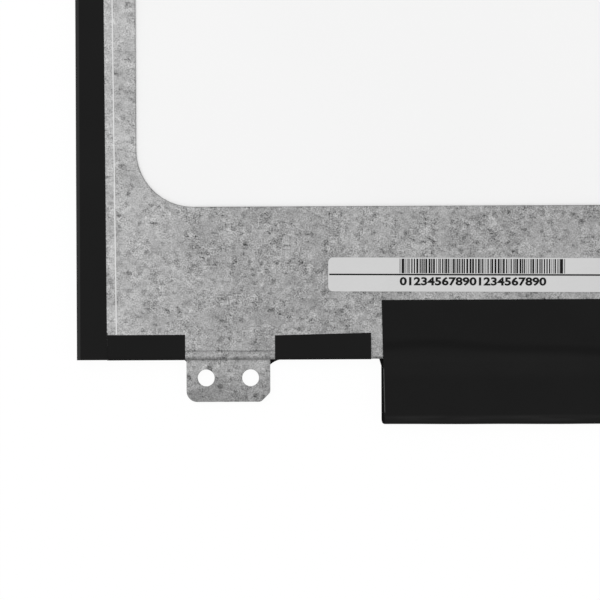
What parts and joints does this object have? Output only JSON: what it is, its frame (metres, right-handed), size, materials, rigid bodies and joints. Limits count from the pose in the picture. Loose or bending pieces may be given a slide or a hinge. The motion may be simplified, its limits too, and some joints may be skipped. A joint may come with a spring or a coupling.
{
  "type": "laptop screen panel",
  "caption": "Slim laptop display module with a steel back plate, a windowed white reflector, screw tabs, black edge tapes and a film-covered circuit board along one edge.",
  "frame": {"origin": "under the middle of the whole panel, on the front face that it lies on", "axes": "+X along the long edge, +Y from the circuit board's edge to the far edge, +Z from the front face to the back"},
  "size_m": [0.3594, 0.2238, 0.0032],
  "materials": {
    "polariser": "smooth dark film",
    "cell_glass": "clear thin glass",
    "black_tape": "black adhesive tape, soft sheen",
    "chip_silicon": "dark bare chip",
    "flex_film": "amber flexible film",
    "clear_film": "clear film",
    "diffuser_film": "translucent white film",
    "light_guide": "clear acrylic",
    "white_reflector": "matt white film",
    "white_flex": "white coated flexible board",
    "led_white": "white package with yellow fill",
    "adhesive_tape": "double-sided tape",
    "black_moulding": "moulded black plastic",
    "zinc_steel": "galvanised sheet with fine spangle",
    "circuit_board": "green solder mask",
    "chip_black": "black moulded package",
    "ferrite": "dark ferrite",
    "ceramic_tan": "tan ceramic body",
    "ceramic_white": "white ceramic body",
    "socket_moulding": "ivory moulded plastic",
    "plated_shell": "bright plated sheet",
    "gold_contact": "gold-plated spring contact",
    "black_film": "black insulating film, soft sheen",
    "label_paper": "pale paper label"
  },
  "bodies": {
    "root": {"front_polariser": "polariser", "colour_filter_glass": "cell_glass", "tft_glass": "cell_glass", "rear_polariser": "polariser", "cell_gasket_tape": "black_tape", "driver_chips": "chip_silicon", "panel_flexes": "flex_film", "upper_prism_sheet": "clear_film", "lower_prism_sheet": "clear_film", "diffuser_sheet": "diffuser_film", "light_guide": "light_guide", "reflector_sheet": "white_reflector", "led_flex": "white_flex", "leds": "led_white", "led_adhesive_tape": "adhesive_tape", "mould_frame": "black_moulding", "back_plate": "zinc_steel", "left_edge_tape": "black_tape", "right_edge_tape": "black_tape", "left_clear_strip": "clear_film", "right_clear_strip": "clear_film", "corner_tapes": "black_tape", "inner_tapes": "black_tape", "top_middle_tape": "black_tape", "control_board": "circuit_board", "timing_controller": "chip_black", "memory_chip": "chip_black", "power_chip": "chip_black", "backlight_driver": "chip_black", "power_inductors": "ferrite", "capacitors": "ceramic_tan", "resistors": "chip_black", "fuse": "ceramic_white", "led_flex_socket": "socket_moulding", "connector_shell": "plated_shell", "connector_housing": "socket_moulding", "connector_contacts": "gold_contact", "board_cover_film": "black_film", "label_strip": "label_paper"}
  },
  "joints": []
}
